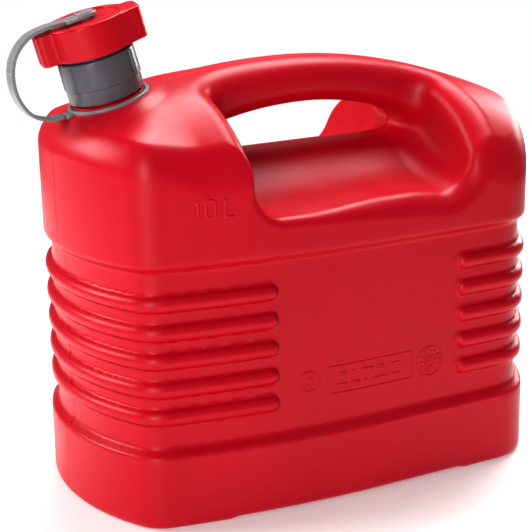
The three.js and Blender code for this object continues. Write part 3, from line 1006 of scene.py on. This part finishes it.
def slot_outline(front, back, half, steps=14):
    """A tongue's outline: square at the front, round at the back."""
    centre = back - half
    angles = np.linspace(-math.pi / 2, math.pi / 2, steps)
    path = [(front, -half)]
    path += [(centre + half * math.cos(a), half * math.sin(a)) for a in angles]
    path.append((front, half))
    return path


def plate(outline, low, high, edge):
    """A flat plate of the given outline, its top and bottom edges rounded."""
    outline = np.array(outline)
    middle = outline.mean(0)
    levels = [(low, edge), (low + 0.3 * edge, 0.3 * edge), (low + edge, 0)]
    levels += [(high - edge, 0), (high - 0.3 * edge, 0.3 * edge), (high, edge)]
    points = []
    for height, inset in levels:
        away = outline - middle
        shrunk = outline - away / np.linalg.norm(away, axis=1)[:, None] * inset
        points += [(x, y, height) for x, y in shrunk]
    count = len(outline)
    faces = []
    for i in range(len(levels) - 1):
        for j in range(count):
            k = (j + 1) % count
            faces.append((i * count + j, i * count + k, (i + 1) * count + k, (i + 1) * count + j))
    faces.append(tuple(reversed(range(count))))
    faces.append(tuple((len(levels) - 1) * count + j for j in range(count)))
    return np.array(points), faces


def make_pad():
    """The strap's end on the cap: a tongue, a raised eye round the stud, and the stud through the cap."""
    front, back, half = PAD
    low, high = PAD_LEVELS
    parts = [plate(slot_outline(front, back, half), low, high, 0.5)]
    parts.append(plate(slot_outline(-4.5, back - 1.4, half - 1.4), high - 0.2, high + 0.8, 0.4))
    shank, head, head_low, head_high = STUD
    stud = rounded(
        [(AXIS, head_low, 0), (head - 2, head_low), (head, head_high, 0.3), (shank, head_high, 0.2),
         (shank, low + 0.6, 0), (AXIS, low + 0.6, 0)],
        0.3,
    )
    parts.append(turned(stud, 40))
    for x in (-9.5, -7.0):
        section = rounded([(-3.6, -0.2, 0), (3.6, -0.2, 0), (3.6, 0.55), (-3.6, 0.55)], 0.2, 2)
        stations = [((x + dx, 0, high), (0, 1, 0), (0, 0, 1)) for dx in (-0.45, 0.45)]
        parts.append(sweep(section[::-1], stations))
    points, faces = join_parts(parts)
    return new_object("strap_tongue", on_neck(points), faces, STRAP_GREY)


# ---------------------------------------------------------------- assembly


add_camera()

can = make_can()
can.data.materials.clear()
can.data.materials.append(RED)
can.data.polygons.foreach_set("use_smooth", [True] * len(can.data.polygons))
can.data.normals_split_custom_set_from_vertices(shading_normals(can).tolist())
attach(can, "root")
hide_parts("can_body")
for mark in (make_capacity_mark(), make_moulder_marks(), make_seam()):
    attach(mark, "root")

ring = make_ring()
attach(ring, "root")
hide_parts("strap_ring")

collar = make_collar()
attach(collar, "collar")
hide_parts("collar")

cap = make_cap()
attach(cap, "cap")
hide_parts("cap")

tongue = make_pad()
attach(tongue, "strap_end")
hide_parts("strap_pad")

band_stations = strap_stations()
join = min(range(len(band_stations)), key=lambda i: abs(band_stations[i][0][2] - STRAP_JOIN[1]))

low_band = make_band("strap_band_low", band_stations[: join + 1])
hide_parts("strap_lower")
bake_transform(low_band)

high_band = make_band("strap_band_high", band_stations[join:])
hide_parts("strap_upper")
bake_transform(high_band)

for node, material in (("spout_tube", GREY), ("spout_seal", RUBBER), ("cap_seal", RUBBER)):
    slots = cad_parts[node].data.materials
    slots.clear()
    slots.append(material)

# ---------------------------------------------------------------- floor and light


def make_floor():
    n = Nodes("studio_floor")
    clouds = n.spread(n.noise(3, 2), 0.3, 0.7, 0, 1)
    n.into(n.blend(clouds, (0.86, 0.86, 0.86, 1), (0.88, 0.88, 0.88, 1)), "Base Color")
    n.shader.inputs["Roughness"].default_value = 0.6
    n.shader.inputs["Emission Color"].default_value = (1, 1, 1, 1)
    n.shader.inputs["Emission Strength"].default_value = 0.25
    half = 0.9
    corners = [(-half, -half, 0), (half, -half, 0), (half, half, 0), (-half, half, 0)]
    mesh = bpy.data.meshes.new("floor")
    mesh.from_pydata(corners, [], [(0, 1, 2, 3)])
    mesh.materials.append(n.material)
    floor = bpy.data.objects.new("floor", mesh)
    bpy.context.collection.objects.link(floor)


def area_light(name, place, target, size, power):
    data = bpy.data.lights.new(name, "AREA")
    data.shape = "RECTANGLE"
    data.size, data.size_y = size
    data.energy = power
    light = bpy.data.objects.new(name, data)
    bpy.context.collection.objects.link(light)
    light.visible_camera = False
    light.location = place
    light.rotation_euler = (Vector(target) - Vector(place)).to_track_quat("-Z", "Y").to_euler()


def add_light():
    world = bpy.data.worlds.new("studio")
    world.use_nodes = True
    tree = world.node_tree
    background = tree.nodes["Background"]
    background.inputs["Color"].default_value = (1, 1, 1, 1)
    seen = tree.nodes.new("ShaderNodeLightPath").outputs["Is Camera Ray"]
    brightness = tree.nodes.new("ShaderNodeMapRange")
    brightness.inputs["To Min"].default_value = 0.2
    brightness.inputs["To Max"].default_value = 1.0
    tree.links.new(seen, brightness.inputs["Value"])
    tree.links.new(brightness.outputs["Result"], background.inputs["Strength"])
    bpy.context.scene.world = world
    middle = (0, 0, 0.15)
    area_light("top", (0.45, 0.4, 1.35), middle, (1.1, 0.7), 27)
    area_light("left", (-1.15, 0.65, 0.8), middle, (0.6, 0.6), 15)
    area_light("front_left", (-0.95, -0.95, 0.55), middle, (0.2, 1.1), 11)
    area_light("right", (1.25, 0.6, 0.5), middle, (0.3, 0.6), 7)
    view = bpy.context.scene.view_settings
    view.view_transform = "Standard"
    view.gamma = 0.78


make_floor()
add_light()
